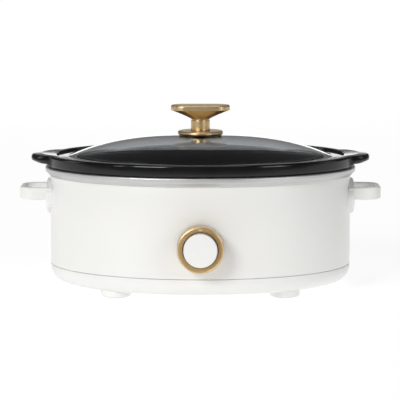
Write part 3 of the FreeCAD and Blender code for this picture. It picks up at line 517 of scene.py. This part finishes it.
def dial():
    back, front = FACE - SKIRT.back, FACE - SKIRT.front
    cap_front, cap_back = FACE - CAP.front, FACE - CAP.back
    outer, hole = SKIRT.a, CAP.a + 1.1
    dial_piece("dial_ring", [
        (hole, back + 5, 0.3), (hole, front - 4.6, 0.4), (outer - 3.0, front - 1.5, 4.0),
        (outer - 1.5, front, 0.5), (outer, front - 0.6, 1.0), (outer, back, 0.5),
        (outer - 1.6, back, 0.5), (outer - 1.6, front - 3.6, 0.5),
        (hole + 1.5, front - 7, 0.5), (hole + 1.5, back + 5, 0.3)], "gold_metal", "dial_skirt")
    dial_piece("dial_button", [
        (0, cap_front - 2, 0), (CAP.a - 2, cap_front - 2, 0.6), (CAP.a - 2, cap_back, 0.3),
        (CAP.a, cap_back, 0.3), (CAP.a, cap_front, 1.5), (0, cap_front, 0)],
        "white_plastic", "dial_cap", closed=False, steps=8)


def dial_mark():
    """A small pill let into the dial's dish, at the top."""
    mark = Size("dial_marker")
    middle = (mark.bottom + mark.top) / 2 - DIAL_LEVEL
    front = FACE - SKIRT.front
    height, width = 1.9, 4.2
    bm = bmesh.new()
    loops = []
    for shrink, rise in ((0.0, -0.9), (0.0, 0.05), (0.18, 0.16)):
        r = height / 2 - shrink
        loop = slot_loop((width - height) / 2, r, 0, arc=10, side=4)
        loops.append([(x, y + middle, front - 1.95 + 0.75 * y + rise) for x, y, z in loop])
    loops = [outwards(loop, FACE, DIAL_LEVEL) for loop in loops]
    skin(bm, loops, closed=False)
    cap(bm, loops[0])
    cap(bm, loops[-1])
    finish_piece("dial_mark", bm, LOOKS["marker_white"], "dial", "dial_marker")


# -------------------------------------------------------------------- handles and feet

def shell_x(y):
    """Where the shell's side is at a distance from the long middle."""
    return SHELL.a * math.sqrt(1 - (y / SHELL.b) ** 2)


def d_path(reach, half, corner, root, steps):
    """The handle's centre line in plan, from one root round to the other."""
    corners = [(root, -half, 0), (reach, -half, corner), (reach, half, corner), (root, half, 0)]
    return softened(corners, closed=False, steps=steps)


def handle_band(bm):
    """The loop: a softened band section carried round a D in plan."""
    band, height, soft = 6.0, 15.0, 2.2
    level = HANDLE.bottom + 19.3 + height / 2
    path = d_path(HANDLE.right - band / 2, 30 - band / 2, 15.0, SHELL.a - 3.6, 14)
    section = softened([(-band / 2, -height / 2, soft), (band / 2, -height / 2, soft),
                        (band / 2, height / 2, soft), (-band / 2, height / 2, soft)], steps=6)
    loops = []
    for i, (x, y) in enumerate(path):
        before, after = Vector(path[max(i - 1, 0)]), Vector(path[min(i + 1, len(path) - 1)])
        along = (after - before).normalized()
        out = Vector((along.y, -along.x))
        loops.append([(x + out.x * u, y + out.y * u, level + v) for u, v in section])
    skin(bm, loops, closed=False)
    cap(bm, loops[0])
    cap(bm, loops[-1])


def handle_pad(bm):
    """The oval pad behind the loop, with a rounded edge that runs down to the shell."""
    level = (HANDLE.bottom + HANDLE.top) / 2
    wide, tall, face, edge = 33.0, (HANDLE.top - HANDLE.bottom) / 2, 185.6, 2.0
    steps, points = 6, 96
    turns = [math.pi / 2 * k / steps for k in range(steps + 1)]
    profile = [(20, 0), (8, 0)] + [(edge * (1 - math.sin(t)), edge * (1 - math.cos(t))) for t in turns]
    rings = [[(face - depth, (wide - shrink) * math.cos(TAU * k / points),
               level + (tall - shrink) * math.sin(TAU * k / points)) for k in range(points)]
             for shrink, depth in profile]
    rings.append([(min(face - edge, shell_x(y) - 0.5), y, z) for x, y, z in rings[-1]])
    skin(bm, rings, closed=False)
    cap(bm, rings[0])
    cap(bm, rings[-1])


def loop_handle(side, sign):
    bm = bmesh.new()
    handle_band(bm)
    handle_pad(bm)
    if sign < 0:
        for vertex in bm.verts:
            vertex.co.x *= -1
    finish_piece(side + "_loop_handle", bm, LOOKS["white_plastic"], "housing",
                 side + "_handle", 40)


PAN_ROUND = 19.0


def pan_underside(x, y):
    """Height of the base pan's rounded underside at a place in plan."""
    low, high = 0.0, PAN_ROUND
    for _ in range(30):
        inset = (low + high) / 2
        if (x / (PAN.a - inset)) ** 2 + (y / (PAN.b - inset)) ** 2 < 1:
            low = inset
        else:
            high = inset
    return PAN.bottom + PAN_ROUND - math.sqrt(max(0.0, PAN_ROUND ** 2 - (PAN_ROUND - low) ** 2))


def moulded_foot(node):
    """A round foot whose top follows the base pan's underside."""
    size = Size(node)
    pad = Size(node.replace("foot_", "foot_pad_"))
    middle = Vector(((pad.left + pad.right) / 2, (pad.front + pad.back) / 2))
    outline = softened([
        (2.2, 4.4, 0), (5.2, 4.4, 0.2), (5.2, 2.2, 0.2), (13.2, 2.2, 0.2), (13.2, size.bottom, 0.3),
        (17.8, size.bottom, 2.6), (17.8, 7.0, 0)], closed=False, steps=6)
    loops = [[(middle.x + x, middle.y + y, z) for x, y, z in circle(r, level, 72)] for r, level in outline]
    loops.append([(x, y, pan_underside(x, y) + 0.5) for x, y, z in loops[-1]])
    loops.append([(middle.x + x, middle.y + y, PAN.bottom + 0.4) for x, y, z in circle(2.2, 0, 72)])
    bm = bmesh.new()
    skin(bm, loops, closed=True)
    finish_piece(node.replace("foot", "moulded_foot"), bm, LOOKS["white_plastic"], "housing",
                 node)


# -------------------------------------------------------------------- camera and light

EYE = Vector((0, -2.399, 0.421))
AIM = Vector((0, 0, 0.1044))
VIEW_ANGLE = math.radians(11.5012)
LIT_POINT = Vector((0, 0, 0.1))
BAND_WIDTH, CARD_WIDTH, CARD_PLACE = 3.2, 1.5, 7.0


def camera():
    """A long lens from the front, a little above the lid."""
    lens = bpy.data.cameras.new("camera")
    eye = bpy.data.objects.new("camera", lens)
    bpy.context.scene.collection.objects.link(eye)
    eye.location = HOUSING_MIDDLE + EYE
    eye.rotation_euler = (AIM - EYE).to_track_quat("-Z", "Y").to_euler()
    lens.sensor_fit = "HORIZONTAL"
    lens.angle = VIEW_ANGLE
    lens.shift_x = -0.001
    lens.clip_start = 0.05
    lens.clip_end = 100
    bpy.context.scene.camera = eye


def softbox(name, place, width, height, watts):
    """A white area lamp that looks at the object."""
    light = bpy.data.lights.new(name, "AREA")
    light.shape = "RECTANGLE"
    light.size, light.size_y = width, height
    light.energy = watts
    lamp = bpy.data.objects.new(name, light)
    bpy.context.scene.collection.objects.link(lamp)
    lamp.location = place
    lamp.rotation_euler = (LIT_POINT - lamp.location).to_track_quat("-Z", "Y").to_euler()


def card(name, corners, axis, stops, base=0.02):
    """A flat stage card whose glow follows (place, glow) stops along one axis."""
    brightest = max(glow for place, glow in stops)
    material, tree, shader = new_material(
        name, Base_Color=(base, base, base, 1), Roughness=0.8, Emission_Strength=brightest)
    where = tree.nodes.new("ShaderNodeTexCoord")
    parts = tree.nodes.new("ShaderNodeSeparateXYZ")
    ramp = tree.nodes.new("ShaderNodeValToRGB")
    start, end = stops[0][0], stops[-1][0]
    tree.links.new(where.outputs["Object"], parts.inputs["Vector"])
    tree.links.new(spread(tree, parts.outputs[axis], 0, 1, start, end), ramp.inputs["Fac"])
    tree.links.new(ramp.outputs["Color"], shader.inputs["Emission Color"])
    while len(ramp.color_ramp.elements) < len(stops):
        ramp.color_ramp.elements.new(0.5)
    for element, (place, glow) in zip(ramp.color_ramp.elements, stops):
        element.position = (place - start) / (end - start)
        tone = glow / brightest
        element.color = (tone, tone, tone, 1)
    mesh = bpy.data.meshes.new(name)
    mesh.from_pydata(corners, [], [list(range(len(corners)))])
    mesh.materials.append(material)
    piece = bpy.data.objects.new(name, mesh)
    bpy.context.scene.collection.objects.link(piece)


def upright(width, low, high):
    """The corners of a card that stands across the back of the stage."""
    y = CARD_PLACE
    return [(-width, y, low), (width, y, low), (width, y, high), (-width, y, high)]


def stage():
    """A pale floor, a bright low band far behind it and a graded card above that."""
    card("floor", [(-40, -40, 0), (40, -40, 0), (40, 60, 0), (-40, 60, 0)], "Y",
         ((-1.7, 0.12), (-0.7, 0.80), (0.3, 0.84), (4.0, 0.98)), base=0.25)
    card("low_band", upright(BAND_WIDTH, 0.15, 1.0), "Z", ((0.7, 1.7), (1.0, 1.2)))
    card("back_card", upright(CARD_WIDTH, 1.0, 4.2), "Z", ((1.2, 0.2), (4.2, 0.72)))


def studio():
    softbox("key_left", (-1.15, -1.9, 1.25), 0.8, 0.8, 27.5)
    softbox("fill_right", (1.5, -1.6, 0.8), 0.5, 0.8, 6)
    softbox("strip_left", (-1.75, -1.45, 0.9), 0.2, 1.2, 3.5)
    softbox("strip_right", (1.75, -1.45, 0.9), 0.2, 1.2, 3.5)
    softbox("side_left", (-2.0, 0.3, 0.9), 0.6, 1.0, 3)
    softbox("side_right", (2.0, 0.3, 0.9), 0.6, 1.0, 1.5)
    softbox("overhead", (0, -0.2, 2.2), 1.2, 0.8, 8)
    world = bpy.data.worlds.new("studio")
    bpy.context.scene.world = world
    world.use_nodes = True
    world.node_tree.nodes["Background"].inputs["Color"].default_value = (1, 1, 1, 1)
    world.node_tree.nodes["Background"].inputs["Strength"].default_value = 0.1
    bpy.context.scene.view_settings.view_transform = "Standard"


# ------------------------------------------------------------------------------- build

camera()
stage()
studio()
dress_cad_nodes()
painted_shell()
trim_ring()
stoneware_crock()
glass_dome()
knob_disc()
knob_stem()
knob_grip()
dial()
dial_mark()
loop_handle("right", 1)
loop_handle("left", -1)
for foot_node in ("foot_front_left", "foot_front_right", "foot_rear_left", "foot_rear_right"):
    moulded_foot(foot_node)
